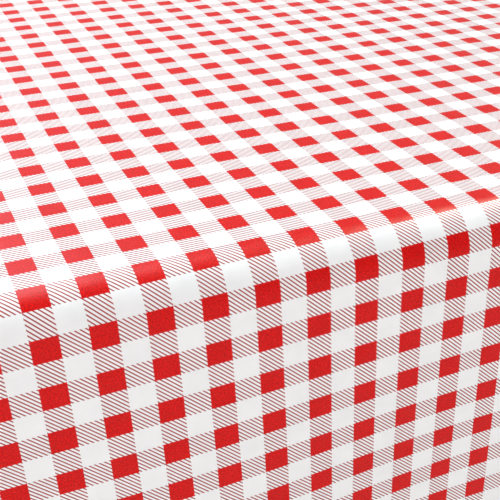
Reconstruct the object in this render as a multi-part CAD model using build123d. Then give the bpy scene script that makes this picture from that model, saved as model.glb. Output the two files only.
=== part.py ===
"""A checked tablecloth lying on a four-legged dining table.

Millimetres, +Z up, X along the table's long side. The origin is on the floor, under the table's middle.
The table is drawn at its (+X, +Y) corner and mirrored to the other three.
"""
import os
from math import cos, pi, radians, sin

from build123d import *

# tabletop
TOP_LENGTH = 1200
TOP_WIDTH = 800
TOP_HEIGHT = 740                # floor to the wood's upper face
TOP_THICKNESS = 32
TOP_CORNER_RADIUS = 30          # rounding of its plan
TOP_UPPER_RADIUS = 25           # rounding that the cloth bends over
TOP_LOWER_RADIUS = 4

# legs
LEG_SIZE = 60
LEG_FOOT_SIZE = 42
LEG_OVERHANG = 40               # tabletop edge to the leg's outer face
LEG_STRAIGHT = 110              # square stretch beside the aprons, above the taper
LEG_CHAMFER = 12                # flat on the inner corner, which the hanger bolt enters
LEG_EDGE_RADIUS = 3

# fits
THREAD_BITE = 0.2               # how far a wood thread or a nail bites into its pilot hole
HOLE_CLEARANCE = 0.5            # around a bolt or screw in sheet metal
NUT_CLEARANCE = 0.05            # wing nut's bore around the bolt
GLIDE_CLEARANCE = 0.1           # glide's bore around its nail

# aprons
APRON_HEIGHT = 90
APRON_THICKNESS = 20
APRON_SETBACK = 8               # leg's outer face to the apron's outer face
GROOVE_DEPTH = 10               # groove for the tabletop clips
GROOVE_HEIGHT = 3
GROOVE_DROP = 14                # tabletop's underside to the groove's floor

# corner brackets and their fasteners
BRACKET_HEIGHT = 60
BRACKET_THICKNESS = 2.5
BRACKET_REACH = 84              # apron corner to where the slanted plate meets each apron
BRACKET_WING = 42
BRACKET_DROP = 15               # tabletop's underside to the bracket's top
BOLT_RADIUS = 4
BOLT_BITE = 32                  # length in the leg
BOLT_TAIL = 18                  # length past the bracket
BOLT_CHAMFER = 1
WASHER_RADIUS = 9
WASHER_THICKNESS = 1.6
WING_NUT_RADIUS = 7
WING_NUT_LENGTH = 8
WING_NUT_CHAMFER = 2
WING_THICKNESS = 3
# A wing's outline: distance behind the nut's seat, and distance from the bolt's axis.
WING_OUTLINE = ((1, 5), (4, 14), (9, 17), (13, 13), (7, 5))

# wood screws
SCREW_RADIUS = 2
SCREW_LENGTH = 14
SCREW_HEAD_RADIUS = 4
SCREW_HEAD_HEIGHT = 2.2
SCREW_ROW_SPACING = 36          # between the two screws of a bracket wing

# tabletop clips
CLIP_WIDTH = 20
CLIP_THICKNESS = 2
CLIP_TONGUE = 8                 # reach into the groove
CLIP_PLAY = 0.5                 # the tongue's height over the groove's floor
CLIP_STEP = 6                   # apron's face to the far side of the upright
CLIP_PLATE = 26                 # apron's face to the end of the upper plate
CLIP_HOLE = 17                  # apron's face to the screw
LONG_SIDE_CLIPS = (-330, 0, 330)
SHORT_SIDE_CLIPS = (-140, 140)

# leg glides
GLIDE_RADIUS = 15
GLIDE_HEIGHT = 6
GLIDE_CHAMFER = 1
GLIDE_RECESS_RADIUS = 4.5
GLIDE_RECESS_DEPTH = 3
NAIL_RADIUS = 1.5
NAIL_LENGTH = 20
NAIL_HEAD_RADIUS = 4
NAIL_HEAD_HEIGHT = 1.5

# tablecloth
CLOTH_LENGTH = 1800
CLOTH_WIDTH = 1400
CLOTH_THICKNESS = 0.8
CLOTH_GAP = 1.0                 # tabletop's edge to the hanging cloth
CLOTH_BEND_RADIUS = 22          # inner radius of the bend over the table's edge
CLOTH_RIM = 1                   # upright rim under the bend, where the fall begins
TIP_DROP = 365                  # table's upper face to the corner tips
FOLD_RADIUS = 103               # a corner fold's loop, at the depth of its tip
FOLD_CENTRE = 96                # the loop's middle, past both sides

TOP_UNDERSIDE = TOP_HEIGHT - TOP_THICKNESS
LEG_OUTER = Vector(TOP_LENGTH / 2 - LEG_OVERHANG, TOP_WIDTH / 2 - LEG_OVERHANG)
LEG_INNER = LEG_OUTER - Vector(LEG_SIZE, LEG_SIZE)
APRON_OUTER = LEG_OUTER - Vector(APRON_SETBACK, APRON_SETBACK)
APRON_INNER = APRON_OUTER - Vector(APRON_THICKNESS, APRON_THICKNESS)
BRACKET_MIDDLE_Z = TOP_UNDERSIDE - BRACKET_DROP - BRACKET_HEIGHT / 2
ROOT_2 = 2 ** 0.5

CORNERS = {"front_left": (-1, -1), "front_right": (1, -1), "back_left": (-1, 1), "back_right": (1, 1)}


def at_corner(shape, side_x, side_y):
    """Mirror a shape drawn at the (+X, +Y) corner to the corner with these signs."""
    if side_x < 0:
        shape = mirror(shape, about=Plane.YZ)
    if side_y < 0:
        shape = mirror(shape, about=Plane.XZ)
    return shape


def slab(low, high):
    """Box between two opposite corners."""
    size = Vector(*high) - Vector(*low)
    return Pos(*low) * Box(size.X, size.Y, size.Z, align=(Align.MIN, Align.MIN, Align.MIN))


def rod(plane, radius, start, end):
    """Cylinder along a plane's normal, from one distance to another."""
    return plane.offset(start) * Cylinder(radius, end - start, align=(Align.CENTER, Align.CENTER, Align.MIN))


# Along a hanger bolt: the normal runs from the table's middle out through the leg's inner corner.
BRACKET_CENTRE = APRON_INNER - Vector(BRACKET_REACH / 2, BRACKET_REACH / 2)
BOLT_PLANE = Plane(
    origin=(BRACKET_CENTRE.X, BRACKET_CENTRE.Y, BRACKET_MIDDLE_Z), x_dir=(1, -1, 0), z_dir=(1, 1, 0))
CHAMFER_DISTANCE = (LEG_INNER.X + LEG_INNER.Y + LEG_CHAMFER - BRACKET_CENTRE.X - BRACKET_CENTRE.Y) / ROOT_2

# Screws of one corner's bracket, as planes whose normals point into the aprons.
WING_MIDDLE = BRACKET_REACH + BRACKET_WING / 2
BRACKET_SCREWS = [
    plane
    for z in (BRACKET_MIDDLE_Z - SCREW_ROW_SPACING / 2, BRACKET_MIDDLE_Z + SCREW_ROW_SPACING / 2)
    for plane in (
        Plane(origin=(APRON_INNER.X - WING_MIDDLE, APRON_INNER.Y, z), z_dir=(0, 1, 0)),
        Plane(origin=(APRON_INNER.X, APRON_INNER.Y - WING_MIDDLE, z), z_dir=(1, 0, 0)),
    )
]

# Places of the tabletop clips: X points from the apron towards the table's middle, Z up.
CLIP_PLACES = [
    Plane(origin=(along, side * APRON_INNER.Y, TOP_UNDERSIDE), x_dir=(0, -side, 0), z_dir=(0, 0, 1))
    for along in LONG_SIDE_CLIPS for side in (-1, 1)
] + [
    Plane(origin=(side * APRON_INNER.X, along, TOP_UNDERSIDE), x_dir=(-side, 0, 0), z_dir=(0, 0, 1))
    for along in SHORT_SIDE_CLIPS for side in (-1, 1)
]
CLIP_SCREWS = [
    Plane(origin=place.from_local_coords(Vector(CLIP_HOLE, 0, 0)), z_dir=(0, 0, 1)) for place in CLIP_PLACES]
GLIDE_CENTRE = LEG_OUTER - Vector(LEG_FOOT_SIZE / 2, LEG_FOOT_SIZE / 2)
GLIDE_PLANE = Plane((GLIDE_CENTRE.X, GLIDE_CENTRE.Y, 0))
OUTWARD = Axis((0, 0, 0), (1, 1, 0))


def tabletop():
    plan = RectangleRounded(TOP_LENGTH, TOP_WIDTH, TOP_CORNER_RADIUS)
    top = extrude(Pos(0, 0, TOP_UNDERSIDE) * plan, TOP_THICKNESS)
    top = fillet(top.faces().sort_by(Axis.Z)[-1].edges(), TOP_UPPER_RADIUS)
    top = fillet(top.faces().sort_by(Axis.Z)[0].edges(), TOP_LOWER_RADIUS)
    for plane in CLIP_SCREWS:
        top -= rod(plane, SCREW_RADIUS - THREAD_BITE, 0, SCREW_LENGTH)
    return top


def leg():
    """A square leg that tapers on its two inner sides, with a flat on its inner corner for the bolt."""
    straight_bottom = TOP_UNDERSIDE - LEG_STRAIGHT
    square = slab((LEG_INNER.X, LEG_INNER.Y, straight_bottom), (LEG_OUTER.X, LEG_OUTER.Y, TOP_UNDERSIDE))
    flat_points = [(0, 0), (LEG_CHAMFER, 0), (0, LEG_CHAMFER)]
    flat = make_face(Polyline(*flat_points, close=True))
    square -= extrude(Pos(LEG_INNER.X, LEG_INNER.Y, straight_bottom) * flat, LEG_STRAIGHT)

    def section(z, size, chamfer):
        inner, outer = LEG_OUTER - Vector(size, size), LEG_OUTER
        points = [
            (inner.X + chamfer, inner.Y), (outer.X, inner.Y), (outer.X, outer.Y),
            (inner.X, outer.Y), (inner.X, inner.Y + chamfer)]
        return Pos(0, 0, z) * make_face(Polyline(*points, close=True))

    taper = loft(
        [section(GLIDE_HEIGHT, LEG_FOOT_SIZE, LEG_CHAMFER * LEG_FOOT_SIZE / LEG_SIZE),
         section(straight_bottom, LEG_SIZE, LEG_CHAMFER)], ruled=True)
    body = square + taper
    outer_edge = body.edges().filter_by(Axis.Z).sort_by(OUTWARD)[-1]
    body = fillet(outer_edge, LEG_EDGE_RADIUS)
    body -= rod(BOLT_PLANE, BOLT_RADIUS - THREAD_BITE, CHAMFER_DISTANCE, CHAMFER_DISTANCE + BOLT_BITE)
    nail_depth = NAIL_LENGTH + GLIDE_RECESS_DEPTH
    body -= rod(GLIDE_PLANE, NAIL_RADIUS - THREAD_BITE, GLIDE_HEIGHT, nail_depth)
    return body


def apron(along_x):
    """The rail on the +Y side, or on the +X side, between two legs."""
    bottom = TOP_UNDERSIDE - APRON_HEIGHT
    groove_floor = TOP_UNDERSIDE - GROOVE_DROP
    groove_top = groove_floor + GROOVE_HEIGHT
    if along_x:
        end, inner, outer = LEG_INNER.X, APRON_INNER.Y, APRON_OUTER.Y
        rail = slab((-end, inner, bottom), (end, outer, TOP_UNDERSIDE))
        groove = slab((-end, inner, groove_floor), (end, inner + GROOVE_DEPTH, groove_top))
    else:
        end, inner, outer = LEG_INNER.Y, APRON_INNER.X, APRON_OUTER.X
        rail = slab((inner, -end, bottom), (outer, end, TOP_UNDERSIDE))
        groove = slab((inner, -end, groove_floor), (inner + GROOVE_DEPTH, end, groove_top))
    rail -= groove
    inward = (0, 1, 0) if along_x else (1, 0, 0)
    for plane in BRACKET_SCREWS:
        if abs(plane.z_dir.dot(Vector(*inward))) > 0.5:
            hole = rod(plane, SCREW_RADIUS - THREAD_BITE, 0, SCREW_LENGTH)
            rail -= hole
            rail -= mirror(hole, about=Plane.YZ if along_x else Plane.XZ)
    return rail


def corner_bracket():
    """Bent plate: a wing on each apron, and a slanted middle that the hanger bolt goes through."""
    x, y, reach, far = APRON_INNER.X, APRON_INNER.Y, BRACKET_REACH, BRACKET_REACH + BRACKET_WING
    thin, bend = BRACKET_THICKNESS, BRACKET_THICKNESS * (ROOT_2 - 1)
    outline = Polyline(
        (x - far, y), (x - reach, y), (x, y - reach), (x, y - far),
        (x - thin, y - far), (x - thin, y - reach - bend), (x - reach - bend, y - thin), (x - far, y - thin),
        close=True)
    bracket = extrude(Pos(0, 0, BRACKET_MIDDLE_Z - BRACKET_HEIGHT / 2) * make_face(outline), BRACKET_HEIGHT)
    bracket -= rod(BOLT_PLANE, BOLT_RADIUS + HOLE_CLEARANCE, -BRACKET_THICKNESS * 2, BRACKET_THICKNESS)
    for plane in BRACKET_SCREWS:
        bracket -= rod(plane, SCREW_RADIUS + HOLE_CLEARANCE, -BRACKET_THICKNESS * 2, 0)
    return bracket


def hanger_bolt():
    bolt = rod(BOLT_PLANE, BOLT_RADIUS, -BRACKET_THICKNESS - BOLT_TAIL, CHAMFER_DISTANCE + BOLT_BITE)
    return chamfer(bolt.edges().sort_by(OUTWARD)[0], BOLT_CHAMFER)


def bracket_washer():
    near = -BRACKET_THICKNESS - WASHER_THICKNESS
    washer = rod(BOLT_PLANE, WASHER_RADIUS, near, -BRACKET_THICKNESS)
    return washer - rod(BOLT_PLANE, BOLT_RADIUS + HOLE_CLEARANCE, near, -BRACKET_THICKNESS)


def wing_nut():
    """A round body with two flat wings that spread away from the bracket."""
    seat = -BRACKET_THICKNESS - WASHER_THICKNESS
    hub = rod(BOLT_PLANE, WING_NUT_RADIUS, seat - WING_NUT_LENGTH, seat)
    hub = chamfer(hub.edges().sort_by(OUTWARD)[0], WING_NUT_CHAMFER)
    # The wings lie in the upright plane through the bolt: its X is the bolt's axis, its Y is up.
    wing_plane = Plane(origin=BOLT_PLANE.origin, x_dir=(1, 1, 0), z_dir=(1, -1, 0))
    points = [(seat - behind, out) for behind, out in WING_OUTLINE]
    wing = extrude(wing_plane * make_face(Polyline(*points, close=True)), WING_THICKNESS / 2, both=True)
    wings = wing + mirror(wing, about=Plane.XY.offset(BRACKET_MIDDLE_Z))
    bore = rod(BOLT_PLANE, BOLT_RADIUS + NUT_CLEARANCE, seat - WING_NUT_LENGTH, seat)
    return hub + wings - bore


def wood_screw(plane, under_head):
    """Pan-head screw along a plane's normal; under_head is the distance of the head's flat side."""
    head = rod(plane, SCREW_HEAD_RADIUS, under_head - SCREW_HEAD_HEIGHT, under_head)
    shank = rod(plane, SCREW_RADIUS, under_head, SCREW_LENGTH)
    return head + shank


def tabletop_clip(place, screw):
    """Z-shaped clip: its tongue sits in the apron's groove and its plate is screwed under the top."""
    low = CLIP_PLAY - GROOVE_DROP
    high = low + CLIP_THICKNESS
    points = [
        (-CLIP_TONGUE, low), (CLIP_STEP, low), (CLIP_STEP, -CLIP_THICKNESS), (CLIP_PLATE, -CLIP_THICKNESS),
        (CLIP_PLATE, 0), (CLIP_STEP - CLIP_THICKNESS, 0), (CLIP_STEP - CLIP_THICKNESS, high),
        (-CLIP_TONGUE, high)]
    profile = Plane.XZ * make_face(Polyline(*points, close=True))
    clip = place * extrude(profile, CLIP_WIDTH / 2, both=True)
    return clip - rod(screw, SCREW_RADIUS + HOLE_CLEARANCE, -CLIP_THICKNESS, 0)


def leg_glide():
    """Plastic disc under a leg, with a recess for the nail's head."""
    glide = rod(GLIDE_PLANE, GLIDE_RADIUS, 0, GLIDE_HEIGHT)
    glide = chamfer(glide.edges().sort_by(Axis.Z)[0], GLIDE_CHAMFER)
    glide -= rod(GLIDE_PLANE, GLIDE_RECESS_RADIUS, 0, GLIDE_RECESS_DEPTH)
    return glide - rod(GLIDE_PLANE, NAIL_RADIUS + GLIDE_CLEARANCE, 0, GLIDE_HEIGHT)


def glide_nail():
    head = rod(GLIDE_PLANE, NAIL_HEAD_RADIUS, GLIDE_RECESS_DEPTH - NAIL_HEAD_HEIGHT, GLIDE_RECESS_DEPTH)
    return head + rod(GLIDE_PLANE, NAIL_RADIUS, GLIDE_RECESS_DEPTH, GLIDE_RECESS_DEPTH + NAIL_LENGTH)


def cloth_half_size(inset):
    return Vector(TOP_LENGTH / 2, TOP_WIDTH / 2) + Vector(1, 1) * (CLOTH_GAP + CLOTH_THICKNESS - inset)


def outline_face(half, z, corner_arcs):
    """Face with straight sides, and at each corner the three arcs given for the (+X, +Y) corner."""
    edges = []
    for side_x, side_y in ((1, 1), (-1, 1), (-1, -1), (1, -1)):
        arcs = [[(side_x * (half.X + x), side_y * (half.Y + y), z) for x, y in arc] for arc in corner_arcs]
        if side_x * side_y < 0:
            arcs = [arc[::-1] for arc in arcs[::-1]]
        if edges:
            edges.append(Line(edges[-1] @ 1, arcs[0][0]))
        edges += [ThreePointArc(*arc) for arc in arcs]
    edges.append(Line(edges[-1] @ 1, edges[0] @ 0))
    return make_face(edges)


def round_corner(radius):
    """A quarter circle as three arcs, measured from the corner that the two sides would meet at."""
    angles = [radians(angle) for angle in range(0, 91, 15)]
    points = [(radius * (cos(angle) - 1), radius * (sin(angle) - 1)) for angle in angles]
    return points[0:3], points[2:5], points[4:7]


def folded_corner(inset):
    """A fold's plan: a hollow quarter circle out of each side, and a loop that is three quarters round."""
    # The loop's middle is as far out as the hollow's radius, so the hollow leaves along the side.
    loop, hollow = FOLD_RADIUS - inset, FOLD_CENTRE + inset
    start, neck = (0, -loop), (hollow, hollow - loop)
    bend = (hollow * (1 - 1 / ROOT_2), hollow / ROOT_2 - loop)
    tip = (hollow + loop / ROOT_2, hollow + loop / ROOT_2)
    second_hollow = [point[::-1] for point in (neck, bend, start)]
    return (start, bend, neck), (neck, tip, second_hollow[0]), second_hollow


def cloth_block(inset):
    """Everything inside the cloth's surface that lies inset from its outer face."""
    half = cloth_half_size(inset)
    radius = TOP_CORNER_RADIUS + CLOTH_GAP + CLOTH_THICKNESS - inset
    fall_top = TOP_HEIGHT - CLOTH_BEND_RADIUS - CLOTH_RIM
    lid = extrude(
        Pos(0, 0, fall_top) * RectangleRounded(2 * half.X, 2 * half.Y, radius),
        TOP_HEIGHT + CLOTH_THICKNESS - inset - fall_top)
    lid = fillet(lid.faces().sort_by(Axis.Z)[-1].edges(), CLOTH_BEND_RADIUS + CLOTH_THICKNESS - inset)
    start = outline_face(half, fall_top, round_corner(radius))
    end = outline_face(half, TOP_HEIGHT - TIP_DROP, folded_corner(inset))
    return lid, loft([end, start], ruled=True)


def below_hem():
    """Everything below the cloth's hem, which runs level along the sides and down to the corner tips."""
    overhang = (CLOTH_LENGTH - TOP_LENGTH) / 2
    hem_z = TOP_HEIGHT - overhang - CLOTH_BEND_RADIUS * (2 - pi / 2) + CLOTH_GAP
    half = cloth_half_size(0)
    below = slab((-TOP_LENGTH, -TOP_WIDTH, 0), (TOP_LENGTH, TOP_WIDTH, hem_z))
    diagonal = Plane(origin=(half.X, half.Y, 0), x_dir=(1, 1, 0), z_dir=(1, -1, 0))
    start, tip = -FOLD_RADIUS / ROOT_2, FOLD_CENTRE * ROOT_2 + FOLD_RADIUS
    wedge = make_face(Polyline((start, hem_z), (tip, hem_z), (tip, TOP_HEIGHT - TIP_DROP), close=True))
    kept = extrude(diagonal * wedge, TOP_WIDTH / 2, both=True)
    for side_x, side_y in CORNERS.values():
        below -= at_corner(kept, side_x, side_y)
    return below


def tablecloth():
    outer_lid, outer_fall = cloth_block(0)
    inner_lid, inner_fall = cloth_block(CLOTH_THICKNESS)
    return (outer_lid - inner_lid) + (outer_fall - inner_fall - below_hem())


def group(shapes):
    """Identical pieces kept in one node as separate solids."""
    return Compound(children=[solid for shape in shapes for solid in shape.solids()])


def all_nodes():
    nodes = {"tabletop": tabletop(), "tablecloth": tablecloth()}
    long_apron, short_apron, one_leg, one_bracket = apron(True), apron(False), leg(), corner_bracket()
    nodes["back_apron"] = long_apron
    nodes["front_apron"] = mirror(long_apron, about=Plane.XZ)
    nodes["right_apron"] = short_apron
    nodes["left_apron"] = mirror(short_apron, about=Plane.YZ)
    for corner, signs in CORNERS.items():
        nodes[corner + "_leg"] = at_corner(one_leg, *signs)
        nodes[corner + "_bracket"] = at_corner(one_bracket, *signs)
    repeated = {
        "hanger_bolts": [hanger_bolt()],
        "bracket_washers": [bracket_washer()],
        "wing_nuts": [wing_nut()],
        "bracket_screws": [wood_screw(plane, -BRACKET_THICKNESS) for plane in BRACKET_SCREWS],
        "leg_glides": [leg_glide()],
        "glide_nails": [glide_nail()],
    }
    for name, shapes in repeated.items():
        nodes[name] = group(at_corner(shape, *signs) for signs in CORNERS.values() for shape in shapes)
    nodes["tabletop_clips"] = group(tabletop_clip(*pair) for pair in zip(CLIP_PLACES, CLIP_SCREWS))
    nodes["clip_screws"] = group(wood_screw(plane, -CLIP_THICKNESS) for plane in CLIP_SCREWS)
    return nodes


os.makedirs("parts", exist_ok=True)
for name, shape in all_nodes().items():
    export_step(shape, f"parts/{name}.step")
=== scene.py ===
"""A red gingham tablecloth of wipe-clean vinyl on a beech dining table, around the CAD frame.

Everything is in metres, in the CAD frame: +Z is up, +X runs along the table, its front faces -Y
and the floor is at 0. The cloth's shape comes from one function, drape, which says where each
point of the flat sheet lies.
"""
import math

import bpy
import numpy as np
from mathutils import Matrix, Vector


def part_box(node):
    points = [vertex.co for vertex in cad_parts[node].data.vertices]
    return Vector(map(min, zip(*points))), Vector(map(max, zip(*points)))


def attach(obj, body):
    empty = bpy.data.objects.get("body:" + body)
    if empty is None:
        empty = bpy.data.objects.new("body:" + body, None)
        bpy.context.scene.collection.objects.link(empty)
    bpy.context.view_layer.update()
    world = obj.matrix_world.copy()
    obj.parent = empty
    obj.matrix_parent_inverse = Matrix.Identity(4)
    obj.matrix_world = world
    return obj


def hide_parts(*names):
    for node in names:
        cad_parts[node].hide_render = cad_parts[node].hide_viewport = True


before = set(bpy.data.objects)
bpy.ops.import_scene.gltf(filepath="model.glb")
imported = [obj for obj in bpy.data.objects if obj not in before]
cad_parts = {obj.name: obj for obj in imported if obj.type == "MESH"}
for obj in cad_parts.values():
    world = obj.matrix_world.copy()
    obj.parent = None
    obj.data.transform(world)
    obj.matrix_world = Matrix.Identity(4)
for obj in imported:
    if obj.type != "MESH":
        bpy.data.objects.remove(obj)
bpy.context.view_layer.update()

# The table, from the frame.
TABLE_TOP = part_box("tabletop")[1]

# The cloth. Its outer face is the surface that drape gives, and its thickness lies under that.
CLOTH_SIZE = np.array((1.8, 1.4))
CLOTH_THICKNESS = 0.0008
CLOTH_GAP = 0.001                   # tabletop's edge to the hanging cloth
BEND_RADIUS = 0.0228                # outer face's bend over the table's edge
CLOTH_TURN = math.radians(2.17)     # how far the cloth lies askew on the table
FALL_LEAN = math.radians(2.0)       # the hanging sides stand out a little at the hem
CLOTH_TOP = TABLE_TOP.z + CLOTH_THICKNESS
BEND_START = np.array((TABLE_TOP.x, TABLE_TOP.y)) + CLOTH_GAP + CLOTH_THICKNESS - BEND_RADIUS
BEND_LENGTH = BEND_RADIUS * math.pi / 2

# The fold at each corner, as angles seen from the corner: a round loop between two hollows.
FOLD_LOOP = 0.282
FOLD_HOLLOW = 0.5 - FOLD_LOOP * (1.5 - 2 / math.pi)
FOLD_LENGTH = math.pi / 2 + 2 * FOLD_LOOP
FOLD_BLEND = 0.15                   # the fold eases into the plain fall over this angle

# The print, on the flat sheet.
CHECK_PERIOD = np.array((0.0312, 0.0300))   # two checks, along the cloth's length and its width
BAND_HALF = 0.245                           # half the width of an inked band, as a share of that
RED_CHECK = np.array((-0.1310, -0.2880))    # the middle of a red check
HATCH_PITCH = 0.00287                       # between the slanting lines, measured along a side
HATCH_INK = 0.36                            # share of the pitch that is inked
HATCH_SOFT = 0.03                           # the ink fades out over this share on either side

# Gentle waves in the hanging sides: height at the hem, length along the side, and phase.
WAVES = ((0.0060, 0.43, 0.8), (0.0028, 0.27, 2.1))
CALM_CORNER = 0.14                  # the waves fade out over this length before a corner's fold

# The hem: the edge is folded under and sewn down.
HEM_WIDTH = 0.012
HEM_ROLL = 0.0011                   # radius of the folded edge
STITCH_INSET = 0.0095
STITCH_LENGTH = 0.0038
STITCH_PITCH = 0.0049
THREAD_RADIUS = 0.00026

# How finely the cloth is divided.
TOP_SPACING = 0.016
HEM_SPACING = 0.006
BEND_LINES = 15
FALL_LINES = 45

# The cloth's corners, in the order in which its edge runs round them.
CORNERS = np.array(((-1, -1), (1, -1), (1, 1), (-1, 1)))


def turn(points, angle):
    """Points of the plane, turned about the origin."""
    c, s = math.cos(angle), math.sin(angle)
    return points @ np.array(((c, s), (-s, c)))


def smooth(t):
    t = np.clip(t, 0, 1)
    return t * t * (3 - 2 * t)


def over_edge(distance):
    """How far out and how far down a point is that lies this far past the start of the bend."""
    past = np.maximum(distance, 0)
    angle = np.minimum(past / BEND_RADIUS, math.pi / 2)
    fallen = np.maximum(past - BEND_LENGTH, 0)
    out = np.minimum(distance, 0) + BEND_RADIUS * np.sin(angle)
    return out, BEND_RADIUS * (1 - np.cos(angle)) + fallen


def fold_direction(angle):
    """The direction in which the sheet's ray at this angle about the corner hangs, as unit vectors.

    Seen from the corner, the rays' directions trace a path that leaves one side, loops round the
    fold's tip and comes back to the other side. The path is as long as the angles that it takes
    in, so the sheet isn't stretched.
    """
    along = np.minimum(angle + FOLD_LOOP, FOLD_LENGTH - FOLD_LOOP - angle)
    in_hollow = along / FOLD_HOLLOW
    in_loop = (along - FOLD_HOLLOW * math.pi / 2) / FOLD_LOOP - math.pi / 2
    hollow = in_hollow < math.pi / 2
    near = np.where(
        hollow,
        FOLD_HOLLOW * (1 - np.cos(in_hollow)),
        FOLD_HOLLOW + FOLD_LOOP * np.cos(in_loop))
    far = np.where(
        hollow,
        FOLD_HOLLOW * np.sin(in_hollow) - FOLD_LOOP,
        FOLD_HOLLOW + FOLD_LOOP * np.sin(in_loop))
    first_half = angle < math.pi / 4
    x, y = np.where(first_half, near, far), np.where(first_half, far, near)
    tilt = np.hypot(x, y)
    share = np.sinc(tilt / math.pi)
    return np.stack((x * share, y * share, -np.cos(tilt)), axis=-1)


def corner_point(past):
    """Where the sheet lies in a corner's fold, from the distances past the start of both bends."""
    reach = np.hypot(past[:, 0], past[:, 1])
    angle = np.arctan2(past[:, 1], past[:, 0])
    flat = np.stack((np.cos(angle), np.sin(angle), 0 * angle), axis=-1)
    hanging = fold_direction(angle)
    bend = np.arccos(np.clip((flat * hanging).sum(axis=-1), -1, 1))
    across = (hanging - np.cos(bend)[:, None] * flat) / np.sin(bend)[:, None]
    turned = np.minimum(reach / BEND_RADIUS, bend)
    arc = BEND_RADIUS * (np.sin(turned)[:, None] * flat + (1 - np.cos(turned))[:, None] * across)
    return arc + np.maximum(reach - BEND_RADIUS * bend, 0)[:, None] * hanging


def waves(past, flat, fallen):
    """How far the hanging sides stand out of a plain fall. Each side has waves of its own."""
    on_x_side = past[:, 0] > past[:, 1]
    along = np.where(on_x_side, flat[:, 1], flat[:, 0])
    calm = smooth(-np.where(on_x_side, past[:, 1], past[:, 0]) / CALM_CORNER)
    own_phase = np.where(on_x_side, 1.1 * np.sign(flat[:, 0]), 2.6 * np.sign(flat[:, 1]))
    depth = np.maximum(fallen - BEND_RADIUS, 0) / (CLOTH_SIZE[0] / 2 - TABLE_TOP.x)
    swing = sum(
        height * np.sin(2 * math.pi * along / length + phase + own_phase)
        for height, length, phase in WAVES)
    return calm * depth ** 1.4 * swing


def drape(flat):
    """Where the points of the flat sheet lie, given in the table's axes, from its middle."""
    side = np.where(flat < 0, -1.0, 1.0)
    past = np.abs(flat) - BEND_START
    out_x, down_x = over_edge(past[:, 0])
    out_y, down_y = over_edge(past[:, 1])
    on_x_side = past[:, 0] > past[:, 1]
    straight = np.where(
        on_x_side[:, None],
        np.stack((out_x, past[:, 1], -down_x), axis=-1),
        np.stack((past[:, 0], out_y, -down_y), axis=-1))
    place = straight.copy()
    angle = np.arctan2(past[:, 1], past[:, 0])
    inside = np.minimum(angle + FOLD_LOOP, math.pi / 2 + FOLD_LOOP - angle)
    folded = (inside > 0) & (past.max(axis=1) > 0)
    share = smooth(inside[folded] / FOLD_BLEND)[:, None]
    place[folded] = share * corner_point(past[folded]) + (1 - share) * straight[folded]
    # The sides lean out, and the folds with them.
    heading = np.clip(angle, 0, math.pi / 2)
    lean = -place[:, 2] * math.tan(FALL_LEAN) + waves(past, flat, -place[:, 2])
    place[:, :2] += lean[:, None] * np.stack((np.cos(heading), np.sin(heading)), axis=-1)
    place[:, :2] = side * (place[:, :2] + BEND_START)
    place[:, 2] += CLOTH_TOP
    return place


def cloth_point(points):
    """Where points of the cloth lie, given in the cloth's own axes."""
    return drape(turn(points, CLOTH_TURN))


def unit(vectors):
    return vectors / np.linalg.norm(vectors, axis=-1, keepdims=True)


def cloth_slopes(points, step=0.0005):
    """Unit directions on the cloth along its length and its width, and its outward normal."""
    here = cloth_point(points)
    slopes = []
    for axis in (0, 1):
        inward = np.zeros_like(points)
        inward[:, axis] = -step * np.where(points[:, axis] < 0, -1.0, 1.0)
        slopes.append(unit((cloth_point(points + inward) - here) * np.sign(inward[:, axis:axis + 1])))
    return slopes[0], slopes[1], unit(np.cross(slopes[0], slopes[1]))


def grid_lines(bend_start, half):
    """Grid lines along one axis: wide apart on the flat top, close together round the bend."""
    top = np.linspace(0, bend_start, round(bend_start / TOP_SPACING) + 1)
    bend = np.linspace(bend_start, bend_start + BEND_LENGTH, BEND_LINES)[1:]
    fall = np.linspace(bend_start + BEND_LENGTH, half, FALL_LINES)[1:]
    positive = np.concatenate((top, bend, fall))
    return np.concatenate((-positive[:0:-1], positive))


def new_object(name, vertices, faces):
    """A smoothly shaded mesh."""
    mesh = bpy.data.meshes.new(name)
    mesh.from_pydata([tuple(v) for v in vertices], [], faces)
    mesh.update()
    mesh.polygons.foreach_set("use_smooth", [True] * len(mesh.polygons))
    thing = bpy.data.objects.new(name, mesh)
    bpy.context.scene.collection.objects.link(thing)
    return thing


def add_print_map(thing, vertex_points):
    """Store each vertex's place on the flat cloth, in metres, as the UV map that the print reads."""
    layer = thing.data.uv_layers.new(name="print")
    corners = np.empty(len(thing.data.loops), dtype=int)
    thing.data.loops.foreach_get("vertex_index", corners)
    layer.data.foreach_set("uv", vertex_points[corners].ravel())


def edge_points(inset, spacing):
    """Points round the cloth, this far inside its edge, and each one's outward direction."""
    half = CLOTH_SIZE / 2
    points, outward = [], []
    for corner, following in zip(CORNERS, np.roll(CORNERS, -1, axis=0)):
        count = round(np.abs((following - corner) * half).sum() / spacing)
        share = np.arange(count)[:, None] / count
        points.append(corner * half * (1 - share) + following * half * share)
        facing = np.tile((corner + following) / 2, (count, 1))
        facing[0] = corner
        outward.append(facing)
    return np.concatenate(points) * (1 - inset / half), np.concatenate(outward)


def ring_faces(rings, around):
    """Faces between closed rings that have the same number of vertices."""
    return [
        (ring * around + k, ring * around + (k + 1) % around,
         (ring + 1) * around + (k + 1) % around, (ring + 1) * around + k)
        for ring in range(rings - 1) for k in range(around)]


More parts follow.
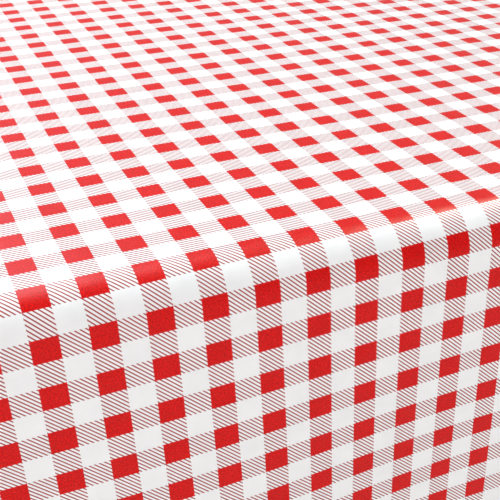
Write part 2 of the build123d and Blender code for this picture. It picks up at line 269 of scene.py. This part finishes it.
def make_hem(materials):
    """The folded edge: a half turn round the edge, and a mitred strip back along the underside."""
    edge, outward = edge_points(0, HEM_SPACING)
    along, across, normal = cloth_slopes(edge)
    out = outward[:, :1] * along + outward[:, 1:] * across
    rings, flat_rings = [], []
    for angle in np.linspace(0, math.pi, 7):
        roll = math.sin(angle) * out - (1 - math.cos(angle)) * normal
        rings.append(cloth_point(edge) + HEM_ROLL * roll)
        flat_rings.append(edge + HEM_ROLL * angle * outward)
    for inset in np.linspace(0, HEM_WIDTH, 4)[1:]:
        inner = edge_points(inset, HEM_SPACING)[0]
        rings.append(cloth_point(inner) - 2 * HEM_ROLL * cloth_slopes(inner)[2])
        flat_rings.append(edge + (HEM_ROLL * math.pi + inset) * outward)
    faces = [face[::-1] for face in ring_faces(len(rings), len(edge))]
    hem = new_object("tablecloth_hem", np.concatenate(rings), faces)
    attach(hem, "cloth")
    add_print_map(hem, np.concatenate(flat_rings))
    add_thickness(hem, materials)
    return hem


def make_stitches():
    """One line of thread all round, seen on the face and on the back of the hem."""
    seam = edge_points(STITCH_INSET, STITCH_PITCH)[0]
    following = np.roll(seam, -1, axis=0)
    middle = (seam + following) / 2
    run = unit(following - seam)
    turns = np.linspace(0, 2 * math.pi, 6, endpoint=False)
    normal = cloth_slopes(middle)[2]
    vertices = []
    # Along a stitch: the place on it, the thread's height over the cloth and its thickness.
    profile = (
        (-0.5, -1.2, 0.5), (-0.42, 0.0, 0.9), (-0.2, 0.7, 1.0),
        (0.2, 0.7, 1.0), (0.42, 0.0, 0.9), (0.5, -1.2, 0.5))
    for sign, depth in ((1, 0.0), (-1, 2 * HEM_ROLL)):
        for place, height, thick in profile:
            centre_flat = middle + run * (place * STITCH_LENGTH)
            centre = cloth_point(centre_flat) + normal * (sign * height * THREAD_RADIUS - depth)
            tangent = unit(cloth_point(middle + run * 0.001) - cloth_point(middle - run * 0.001))
            sideways = unit(np.cross(normal, tangent))
            for turned in turns:
                spoke = math.cos(turned) * sideways + math.sin(turned) * normal
                vertices.append(centre + spoke * THREAD_RADIUS * thick)
    # The vertices were made for all stitches at once. Now each stitch's own ones come together.
    count, around, rings = len(middle), len(turns), len(profile)
    vertices = np.array(vertices).reshape(2, rings, around, count, 3)
    vertices = vertices.transpose(0, 3, 1, 2, 4).reshape(-1, 3)
    per_stitch = rings * around
    one_stitch = ring_faces(rings, around)
    one_stitch.append(tuple(reversed(range(around))))
    one_stitch.append(tuple(range(per_stitch - around, per_stitch)))
    faces = [
        tuple(start + v for v in face)
        for start in range(0, len(vertices), per_stitch) for face in one_stitch]
    stitches = new_object("hem_stitches", vertices, faces)
    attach(stitches, "cloth")
    stitches.data.materials.append(thread())
    return stitches


def add_thickness(thing, materials):
    """Give a sheet its thickness under the printed face, with the fleece backing there."""
    solid = thing.modifiers.new("thickness", "SOLIDIFY")
    solid.thickness = CLOTH_THICKNESS
    solid.offset = -1
    solid.material_offset = 1
    solid.material_offset_rim = 1
    for material in materials:
        thing.data.materials.append(material)


def make_cloth(materials):
    """The whole sheet, draped over the table."""
    half = CLOTH_SIZE / 2
    lines = [grid_lines(BEND_START[k], half[k]) for k in (0, 1)]
    across, along = len(lines[0]), len(lines[1])
    square = np.stack(np.meshgrid(*lines), axis=-1).reshape(-1, 2)
    # Over the table the grid follows the table's edges. Towards the hem it turns to the cloth's.
    fall_start = BEND_START + BEND_LENGTH
    past = (np.abs(square) - fall_start) / (half - fall_start)
    share = np.clip(past.max(axis=1), 0, 1)[:, None]
    flat = (1 - share) * square + share * turn(square, CLOTH_TURN)
    faces = [
        (row + k, row + k + 1, row + across + k + 1, row + across + k)
        for row in range(0, across * (along - 1), across) for k in range(across - 1)]
    cloth = new_object("tablecloth_sheet", drape(flat), faces)
    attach(cloth, "cloth")
    add_print_map(cloth, turn(flat, -CLOTH_TURN))
    add_thickness(cloth, materials)
    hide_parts("tablecloth")
    return cloth


# ------------------------------------------------------------------------------------------
# Materials
# ------------------------------------------------------------------------------------------

class Nodes:
    """Short calls for building a material's node tree."""

    def __init__(self, name):
        self.material = bpy.data.materials.new(name)
        self.material.use_nodes = True
        self.tree = self.material.node_tree
        self.shader = self.tree.nodes["Principled BSDF"]

    def add(self, kind, inputs=(), **settings):
        node = self.tree.nodes.new("ShaderNode" + kind)
        for key, value in settings.items():
            setattr(node, key, value)
        for key, value in dict(inputs).items():
            self.put(node.inputs[key], value)
        return node

    def put(self, socket, value):
        if isinstance(value, bpy.types.NodeSocket):
            self.tree.links.new(value, socket)
        else:
            socket.default_value = value

    def math(self, operation, a, b=0.0):
        return self.add("Math", {0: a, 1: b}, operation=operation).outputs[0]

    def mix(self, share, a, b, blend="MIX"):
        node = self.add("Mix", data_type="RGBA", blend_type=blend)
        for socket, value in zip((node.inputs[0], node.inputs[6], node.inputs[7]), (share, a, b)):
            self.put(socket, value)
        return node.outputs[2]

    def ramp(self, value, low, high, to_low=0.0, to_high=1.0):
        node = self.add("MapRange", {0: value, 1: low, 2: high, 3: to_low, 4: to_high})
        return node.outputs[0]

    def noise(self, vector, scale, detail=2.0, roughness=0.5):
        inputs = {"Vector": vector, "Scale": scale, "Detail": detail, "Roughness": roughness}
        return self.add("TexNoise", inputs).outputs["Fac"]

    def bump(self, height, strength, distance, normal=None):
        inputs = {"Height": height, "Strength": strength, "Distance": distance}
        if normal is not None:
            inputs["Normal"] = normal
        return self.add("Bump", inputs).outputs[0]

    def finish(self, **inputs):
        for key, value in inputs.items():
            self.put(self.shader.inputs[key.replace("_", " ")], value)
        return self.material


def rgb(red, green, blue):
    """A colour given as 0 to 255 on screen, as the linear numbers that shaders take."""
    def linear(v):
        v /= 255
        return v / 12.92 if v <= 0.04045 else ((v + 0.055) / 1.055) ** 2.4
    return (linear(red), linear(green), linear(blue), 1.0)


def gingham_ink(n, point):
    """How much ink the print has at a place on the flat cloth: whole red checks, and hatched ones."""
    def band(axis):
        place = n.math("SUBTRACT", point.outputs[axis], RED_CHECK[axis])
        place = n.math("DIVIDE", place, CHECK_PERIOD[axis])
        return n.math("LESS_THAN", n.math("PINGPONG", place, 0.5), BAND_HALF)

    along, across = band(0), band(1)
    both = n.math("MULTIPLY", along, across)
    either = n.math("MAXIMUM", along, across)
    diagonal = n.math("DIVIDE", n.math("ADD", point.outputs[0], point.outputs[1]), HATCH_PITCH)
    wave = n.math("PINGPONG", diagonal, 0.5)
    edge = HATCH_INK / 2
    line = n.ramp(wave, edge - HATCH_SOFT, edge + HATCH_SOFT, 1.0, 0.0)
    return both, n.math("MAXIMUM", both, n.math("MULTIPLY", either, line))


def printed_vinyl():
    """White vinyl film with a red gingham print, a fine embossed grain and a soft gloss."""
    n = Nodes("printed_vinyl")
    uv = n.add("UVMap", uv_map="print").outputs[0]
    point = n.add("SeparateXYZ", {0: uv})
    red_check, ink = gingham_ink(n, point)
    # The ink isn't quite even.
    blotch = n.noise(uv, 60.0, 3.0)
    mottle = n.noise(uv, 1000.0, 3.0, 0.7)
    red = n.mix(n.ramp(blotch, 0.3, 0.7), rgb(226, 3, 2), rgb(236, 5, 3))
    red = n.mix(n.ramp(mottle, 0.40, 0.58, 0.9, 0.0), red, rgb(172, 0, 1))
    # Tiny pale orange specks on the red are painted highlight glints of the embossed grain.
    painted_glints = n.ramp(n.noise(uv, 1300.0, 1.0), 0.70, 0.76, 0.0, 0.7)
    red = n.mix(painted_glints, red, rgb(250, 110, 80))
    paint = n.mix(red_check, rgb(158, 4, 14), red)
    white = n.mix(n.ramp(blotch, 0.3, 0.7), rgb(240, 241, 241), rgb(246, 246, 246))
    colour = n.mix(ink, white, paint)
    # Embossed canvas grain, with the slight dents of a sheet that has been folded and unrolled.
    canvas = n.add("TexVoronoi", {"Vector": uv, "Scale": 1250.0, "Randomness": 0.75}).outputs[0]
    fine = n.noise(uv, 3200.0)
    grain = n.math("ADD", n.math("MULTIPLY", canvas, 0.6), n.math("MULTIPLY", fine, 0.4))
    swell = n.noise(uv, 26.0, 2.0, 0.4)
    normal = n.bump(grain, 0.45, 0.00022)
    normal = n.bump(swell, 0.35, 0.0035, normal)
    roughness = n.ramp(n.noise(uv, 420.0, 3.0), 0.2, 0.8, 0.27, 0.40)
    n.shader.inputs["Specular IOR Level"].default_value = 0.2
    return n.finish(Base_Color=colour, Roughness=roughness, Normal=normal)


def fleece():
    """The brushed white backing."""
    n = Nodes("fleece_backing")
    place = n.add("TexCoord").outputs["Object"]
    fuzz = n.noise(place, 1800.0, 4.0, 0.7)
    lump = n.noise(place, 160.0, 3.0)
    colour = n.mix(lump, rgb(222, 220, 214), rgb(240, 239, 235))
    normal = n.bump(fuzz, 0.6, 0.0006)
    n.shader.inputs["Sheen Weight"].default_value = 0.4
    return n.finish(Base_Color=colour, Roughness=0.95, Normal=normal)


def thread():
    """White polyester sewing thread, with its twist."""
    n = Nodes("sewing_thread")
    place = n.add("TexCoord").outputs["Object"]
    twist = n.noise(place, 3000.0, 2.0)
    colour = n.mix(twist, rgb(214, 210, 204), rgb(244, 243, 240))
    n.shader.inputs["Sheen Weight"].default_value = 0.3
    return n.finish(Base_Color=colour, Roughness=0.6, Normal=n.bump(twist, 0.5, 0.0001))


def edge_wear(n, radius, low, high):
    """Nearly 0 on flat faces and up to 1 on outer edges."""
    rounded = n.add("Bevel", {"Radius": radius}, samples=4).outputs[0]
    plain = n.add("NewGeometry").outputs["Normal"]
    agree = n.add("VectorMath", {0: rounded, 1: plain}, operation="DOT_PRODUCT")
    return n.ramp(agree.outputs["Value"], low, high, 1.0, 0.0)


def stretched(n, place, axis, factor):
    """A place with its coordinate along one axis shortened, so that a pattern runs long that way."""
    scale = [1.0, 1.0, 1.0]
    scale[axis] = factor
    return n.add("VectorMath", {0: place, 1: tuple(scale)}, operation="MULTIPLY").outputs[0]


def beech(name, axis, staves=False):
    """Oiled beech whose grain runs along one axis, with growth rings, fibres and dark flecks."""
    n = Nodes(name)
    place = n.add("TexCoord").outputs["Object"]
    figure = n.noise(stretched(n, place, axis, 0.07), 16.0, 2.0, 0.45)
    rings = n.math("PINGPONG", n.math("MULTIPLY", figure, 9.0), 0.5)
    fibres = n.noise(stretched(n, place, axis, 0.035), 1100.0, 4.0, 0.6)
    flecks = n.ramp(n.noise(stretched(n, place, axis, 0.16), 620.0, 1.0), 0.62, 0.68)
    colour = n.mix(n.ramp(rings, 0.05, 0.45), rgb(226, 192, 150), rgb(208, 168, 124))
    colour = n.mix(n.math("MULTIPLY", fibres, 0.45), colour, rgb(186, 142, 98))
    colour = n.mix(n.math("MULTIPLY", flecks, 0.45), colour, rgb(152, 104, 66))
    height = n.math("ADD", fibres, n.math("MULTIPLY", flecks, -0.5))
    if staves:
        glued = {
            "Vector": place,
            "Scale": 1.0,
            "Color1": (0.90, 0.90, 0.90, 1.0),
            "Color2": (1.0, 0.97, 0.93, 1.0),
            "Mortar": (0.45, 0.38, 0.32, 1.0),
            "Mortar Size": 0.00035,
            "Brick Width": 0.42,
            "Row Height": 0.047}
        brick = n.add("TexBrick", glued, offset=0.37, offset_frequency=2)
        colour = n.mix(1.0, colour, brick.outputs["Color"], blend="MULTIPLY")
        height = n.math("SUBTRACT", height, brick.outputs["Fac"])
    worn = edge_wear(n, 0.0025, 0.80, 0.99)
    colour = n.mix(n.math("MULTIPLY", worn, 0.35), colour, rgb(236, 210, 174))
    roughness = n.ramp(fibres, 0.2, 0.8, 0.42, 0.55)
    roughness = n.math("ADD", roughness, n.math("MULTIPLY", worn, 0.12))
    return n.finish(Base_Color=colour, Roughness=roughness, Normal=n.bump(height, 0.25, 0.0003))


def zinc_steel(name, axis):
    """Bright zinc-plated sheet steel: faint rolling lines along one axis and a cloudy plating."""
    n = Nodes(name)
    place = n.add("TexCoord").outputs["Object"]
    lines = n.noise(stretched(n, place, axis, 0.02), 2400.0, 3.0, 0.6)
    cloud = n.noise(place, 70.0, 4.0, 0.6)
    spangle = n.add("TexVoronoi", {"Vector": place, "Scale": 260.0}).outputs["Color"]
    colour = n.mix(cloud, rgb(186, 190, 194), rgb(214, 216, 217))
    colour = n.mix(0.05, colour, spangle, blend="OVERLAY")
    worn = edge_wear(n, 0.0008, 0.80, 0.99)
    colour = n.mix(n.math("MULTIPLY", worn, 0.4), colour, rgb(232, 233, 234))
    streaks = n.math("ADD", n.math("MULTIPLY", cloud, 0.6), n.math("MULTIPLY", lines, 0.4))
    roughness = n.ramp(streaks, 0.3, 0.7, 0.26, 0.46)
    n.shader.inputs["Metallic"].default_value = 1.0
    return n.finish(Base_Color=colour, Roughness=roughness, Normal=n.bump(lines, 0.2, 0.00008))


BOLT_PITCH = 0.00125                # of the hanger bolts' thread


def threaded_steel():
    """Zinc-plated hanger bolts. Their threads run along the table's diagonals."""
    n = Nodes("threaded_steel")
    place = n.add("TexCoord").outputs["Object"]
    axes = n.add("SeparateXYZ", {0: place})
    along = n.math("ADD", n.math("ABSOLUTE", axes.outputs[0]), n.math("ABSOLUTE", axes.outputs[1]))
    ridge = n.math("PINGPONG", n.math("DIVIDE", along, BOLT_PITCH * math.sqrt(2)), 0.5)
    grime = n.noise(place, 500.0, 3.0)
    colour = n.mix(n.math("MULTIPLY", grime, 0.8), rgb(206, 206, 204), rgb(150, 148, 144))
    roughness = n.ramp(grime, 0.3, 0.7, 0.28, 0.45)
    n.shader.inputs["Metallic"].default_value = 1.0
    return n.finish(Base_Color=colour, Roughness=roughness, Normal=n.bump(ridge, 1.0, 0.0007))


def moulded_plastic():
    """Off-white polythene glides, scuffed where they slide on the floor."""
    n = Nodes("moulded_plastic")
    place = n.add("TexCoord").outputs["Object"]
    height = n.add("SeparateXYZ", {0: place}).outputs[2]
    spark = n.noise(place, 2600.0, 3.0, 0.6)
    low_down = n.ramp(height, 0.0, 0.0015, 1.0, 0.0)
    scuff = n.math("MULTIPLY", low_down, n.noise(place, 300.0, 3.0))
    colour = n.mix(n.math("MULTIPLY", scuff, 0.8), rgb(214, 210, 202), rgb(128, 122, 114))
    roughness = n.ramp(spark, 0.3, 0.7, 0.42, 0.58)
    return n.finish(Base_Color=colour, Roughness=roughness, Normal=n.bump(spark, 0.3, 0.0001))


def floor_paint():
    """Matt pale paint."""
    n = Nodes("pale_floor")
    place = n.add("TexCoord").outputs["Object"]
    colour = n.mix(n.noise(place, 3.0), rgb(232, 232, 230), rgb(238, 238, 236))
    return n.finish(Base_Color=colour, Roughness=0.75)


def give_material(material, nodes):
    for name in nodes:
        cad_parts[name].data.materials.clear()
        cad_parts[name].data.materials.append(material)


def dress_table():
    """Give every piece of the table its material. The wood's grain runs along each piece."""
    give_material(beech("top_beech", 0, staves=True), ["tabletop"])
    give_material(beech("long_rail_beech", 0), ["front_apron", "back_apron"])
    give_material(beech("short_rail_beech", 1), ["left_apron", "right_apron"])
    corners = ["front_left", "front_right", "back_left", "back_right"]
    give_material(beech("leg_beech", 2), [corner + "_leg" for corner in corners])
    give_material(zinc_steel("bracket_zinc", 2), [corner + "_bracket" for corner in corners])
    give_material(zinc_steel("fastener_zinc", 0), [
        "bracket_washers", "wing_nuts", "bracket_screws", "glide_nails", "tabletop_clips",
        "clip_screws"])
    give_material(threaded_steel(), ["hanger_bolts"])
    give_material(moulded_plastic(), ["leg_glides"])


# ------------------------------------------------------------------------------------------
# Stage, lights and camera
# ------------------------------------------------------------------------------------------

FLOOR_RADIUS = 7.0
COVE_RADIUS = 3.0
WALL_HEIGHT = 5.5
FLOOR_SIDES = 96


def make_floor():
    """A round studio floor that curves up into a pale wall all round."""
    profile = [(0.3, 0.0), (FLOOR_RADIUS / 2, 0.0), (FLOOR_RADIUS, 0.0)]
    for angle in np.linspace(0, math.pi / 2, 13)[1:]:
        out, up = math.sin(angle), 1 - math.cos(angle)
        profile.append((FLOOR_RADIUS + COVE_RADIUS * out, COVE_RADIUS * up))
    profile.append((FLOOR_RADIUS + COVE_RADIUS, WALL_HEIGHT))
    turns = np.linspace(0, 2 * math.pi, FLOOR_SIDES, endpoint=False)
    vertices = [(r * math.cos(a), r * math.sin(a), z) for r, z in profile for a in turns]
    faces = [face[::-1] for face in ring_faces(len(profile), FLOOR_SIDES)]
    faces.append(tuple(range(FLOOR_SIDES)))
    floor = new_object("floor", vertices, faces)
    floor.data.materials.append(floor_paint())


def area_light(name, place, size, power, colour=(1, 1, 1), sheen_only=False):
    """A light aimed at the table's top. A sheen-only one adds gloss and no light of its own."""
    data = bpy.data.lights.new(name, "AREA")
    data.shape = "RECTANGLE"
    data.size, data.size_y = size
    data.energy = power
    data.color = colour
    light = bpy.data.objects.new(name, data)
    light.location = place
    aim = Vector((0.0, 0.0, TABLE_TOP.z)) - Vector(place)
    light.rotation_euler = aim.to_track_quat("-Z", "Y").to_euler()
    light.visible_camera = False
    light.visible_diffuse = not sheen_only
    bpy.context.scene.collection.objects.link(light)


def make_lights():
    world = bpy.data.worlds.new("studio")
    bpy.context.scene.world = world
    world.use_nodes = True
    background = world.node_tree.nodes["Background"]
    background.inputs["Color"].default_value = (1.0, 1.0, 1.0, 1.0)
    background.inputs["Strength"].default_value = 0.45
    area_light("key", (-0.7, 1.1, 3.3), (2.4, 2.0), 106, (0.93, 1.0, 1.02))
    area_light("window", (-1.3, 3.0, 3.3), (1.2, 1.8), 150, (0.74, 0.82, 1.0), sheen_only=True)
    area_light("lamp", (2.3, 0.5, 3.1), (0.8, 0.8), 180, (1.0, 0.84, 0.66), sheen_only=True)
    area_light("front", (-1.8, -4.2, 1.3), (3.0, 1.8), 78, (1.0, 0.935, 0.95))
    bpy.context.scene.view_settings.view_transform = "Standard"


# The camera looks down on the front edge from its left.
LENS = 64.8                          # for a sensor 36 mm wide
CAMERA_LOOK = (21.73, 30.08)         # azimuth and elevation in degrees
RED_CHECK_TO_CAMERA = Vector((-0.1928, -0.4991, 0.2519))


def make_camera():
    data = bpy.data.cameras.new("camera")
    data.lens = LENS
    data.sensor_width = 36
    data.clip_start = 0.01
    camera = bpy.data.objects.new("camera", data)
    red_check = Vector(cloth_point(RED_CHECK[None, :])[0])
    camera.location = red_check + RED_CHECK_TO_CAMERA
    azimuth, elevation = (math.radians(v) for v in CAMERA_LOOK)
    forward = Vector((
        math.sin(azimuth) * math.cos(elevation),
        math.cos(azimuth) * math.cos(elevation),
        -math.sin(elevation)))
    camera.rotation_mode = "QUATERNION"
    camera.rotation_quaternion = forward.to_track_quat("-Z", "Y")
    bpy.context.scene.collection.objects.link(camera)
    bpy.context.scene.camera = camera


make_camera()
make_floor()
make_lights()
dress_table()
cloth_materials = (printed_vinyl(), fleece())
cloth = make_cloth(cloth_materials)
make_hem(cloth_materials)
make_stitches()
